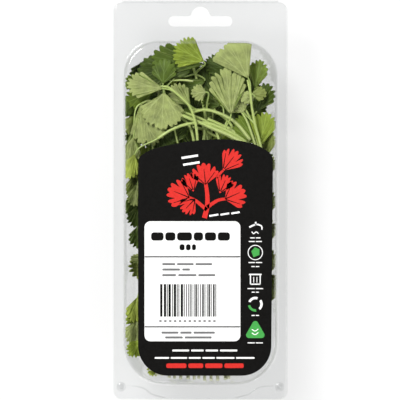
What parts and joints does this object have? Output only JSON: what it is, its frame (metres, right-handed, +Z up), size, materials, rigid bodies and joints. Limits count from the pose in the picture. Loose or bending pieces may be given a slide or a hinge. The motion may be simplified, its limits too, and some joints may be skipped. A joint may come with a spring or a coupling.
{
  "type": "coriander bunch",
  "caption": "Cut coriander, fan-shaped leaves on long thin stems, lying in a clear hinged hang pack with a black front label.",
  "frame": {"origin": "under the middle of the pack's bounding box, on the surface it lies on", "axes": "+Y along the pack's length to the hanger slot, +Z up through the lid to the front label, +X to the right of someone reading the label"},
  "size_m": [0.0874, 0.2, 0.0318],
  "materials": {
    "clear_sheet": "clear, glossy thermoformed sheet",
    "label_black": "coated, semi-gloss",
    "leaf_green": "soft leaf, upper side",
    "leaf_pale": "soft leaf, pale underside",
    "stem_green": "smooth, moist stem"
  },
  "bodies": {
    "tray": {"tray": "clear_sheet", "back_label": "label_black", "hinge_fold": "clear_sheet", "leaf_centre": "leaf_pale", "leaf_dark_small": "leaf_green", "leaf_deep_1a": "leaf_green", "leaf_deep_1b": "leaf_green", "leaf_deep_1c": "leaf_green", "leaf_deep_2a": "leaf_green", "leaf_deep_2b": "leaf_green", "leaf_deep_2c": "leaf_green", "leaf_deep_3a": "leaf_green", "leaf_deep_3b": "leaf_green", "leaf_deep_3c": "leaf_green", "leaf_deep_4a": "leaf_green", "leaf_deep_4b": "leaf_green", "leaf_deep_4c": "leaf_green", "leaf_grey": "leaf_pale", "leaf_left_behind": "leaf_pale", "leaf_left_broad": "leaf_pale", "leaf_left_dark": "leaf_green", "leaf_left_fold": "leaf_pale", "leaf_left_long": "leaf_pale", "leaf_right_dark": "leaf_green", "leaf_right_inner": "leaf_pale", "leaf_right_low": "leaf_pale", "leaf_right_olive": "leaf_pale", "leaf_side_bright": "leaf_pale", "leaf_side_dark": "leaf_green", "leaf_side_last": "leaf_pale", "leaf_side_long": "leaf_pale", "leaf_side_pale": "leaf_pale", "leaf_side_small": "leaf_pale", "leaf_side_soft": "leaf_pale", "leaf_small_left": "leaf_pale", "leaf_small_right": "leaf_pale", "leaf_stem_side": "leaf_pale", "leaf_top_bright": "leaf_pale", "leaf_top_dark": "leaf_green", "leaf_top_right": "leaf_pale", "leaf_under_arc": "leaf_pale", "leaf_under_centre": "leaf_pale", "stem_arc": "stem_green", "stem_deep_1": "stem_green", "stem_deep_2": "stem_green", "stem_deep_3": "stem_green", "stem_deep_4": "stem_green", "stem_left_broad": "stem_green", "stem_left_fold": "stem_green", "stem_left_long": "stem_green", "stem_loose_left": "stem_green", "stem_loose_middle": "stem_green", "stem_loose_right": "stem_green", "stem_small_left": "stem_green", "stem_top_right": "stem_green", "stem_under_arc": "stem_green"},
    "lid": {"lid": "clear_sheet", "front_label": "label_black"}
  },
  "joints": [
    {"name": "lid_hinge", "type": "hinge", "parent": "tray", "child": "lid", "pos_m": [0, 0.0996, 0.02815], "axis": [-1, 0, 0], "range_deg": [0, 180]}
  ]
}
